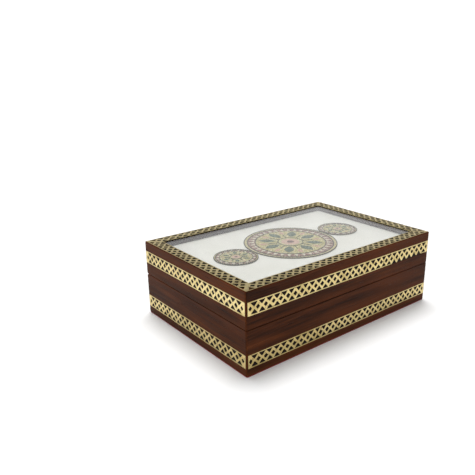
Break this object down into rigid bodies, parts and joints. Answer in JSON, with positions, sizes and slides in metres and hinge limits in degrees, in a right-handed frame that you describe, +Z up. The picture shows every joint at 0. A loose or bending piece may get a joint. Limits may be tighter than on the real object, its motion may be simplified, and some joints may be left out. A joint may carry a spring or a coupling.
{
  "type": "inlaid wooden box",
  "caption": "Rectangular rosewood keepsake box with a hinged lid, pierced brass strips let into its sides and top, and a picture under glass in the lid.",
  "frame": {"origin": "centre of the underside", "axes": "+X along the length, +Y from the front to the hinges at the back, +Z up"},
  "size_m": [0.2032, 0.1372, 0.0646],
  "materials": {
    "rosewood": "waxed satin",
    "spacer_wood": "stained matt",
    "plywood": "raw",
    "fret_brass": "hand-cut, lightly polished",
    "hinge_brass": "plated satin",
    "screw_brass": "plated satin",
    "glass": "clear polished",
    "white_plate": "smooth matt",
    "relief": "crushed gemstone grain",
    "velvet": "velvet pile",
    "felt": "felt"
  },
  "bodies": {
    "base": {"base_front_wall": "rosewood", "base_back_wall": "rosewood", "base_left_wall": "rosewood", "base_right_wall": "rosewood", "base_floor": "plywood", "underside_felt": "felt", "base_cushion": "velvet", "base_lining_front": "velvet", "base_lining_back": "velvet", "base_lining_left": "velvet", "base_lining_right": "velvet", "base_strip_front": "fret_brass", "base_strip_back": "fret_brass", "base_strip_left": "fret_brass", "base_strip_right": "fret_brass", "left_hinge_base_leaf": "hinge_brass", "right_hinge_base_leaf": "hinge_brass", "left_hinge_pin": "hinge_brass", "right_hinge_pin": "hinge_brass", "base_hinge_screws": "screw_brass"},
    "lid": {"lid_front_wall": "rosewood", "lid_back_wall": "rosewood", "lid_left_wall": "rosewood", "lid_right_wall": "rosewood", "lid_front_rail": "rosewood", "lid_back_rail": "rosewood", "lid_left_rail": "rosewood", "lid_right_rail": "rosewood", "lid_strip_front": "fret_brass", "lid_strip_back": "fret_brass", "lid_strip_left": "fret_brass", "lid_strip_right": "fret_brass", "top_strip_front": "fret_brass", "top_strip_back": "fret_brass", "top_strip_left": "fret_brass", "top_strip_right": "fret_brass", "glass_pane": "glass", "glass_spacer_front": "spacer_wood", "glass_spacer_back": "spacer_wood", "glass_spacer_left": "spacer_wood", "glass_spacer_right": "spacer_wood", "picture_plate": "white_plate", "picture_relief": "relief", "lid_backing": "plywood", "lid_cushion": "velvet", "lid_lining_front": "velvet", "lid_lining_back": "velvet", "lid_lining_left": "velvet", "lid_lining_right": "velvet", "left_hinge_lid_leaf": "hinge_brass", "right_hinge_lid_leaf": "hinge_brass", "lid_hinge_screws": "screw_brass"}
  },
  "joints": [
    {"name": "lid_hinge", "type": "hinge", "parent": "base", "child": "lid", "pos_m": [0, 0.0666, 0.036], "axis": [-1, 0, 0], "range_deg": [0, 100]}
  ]
}
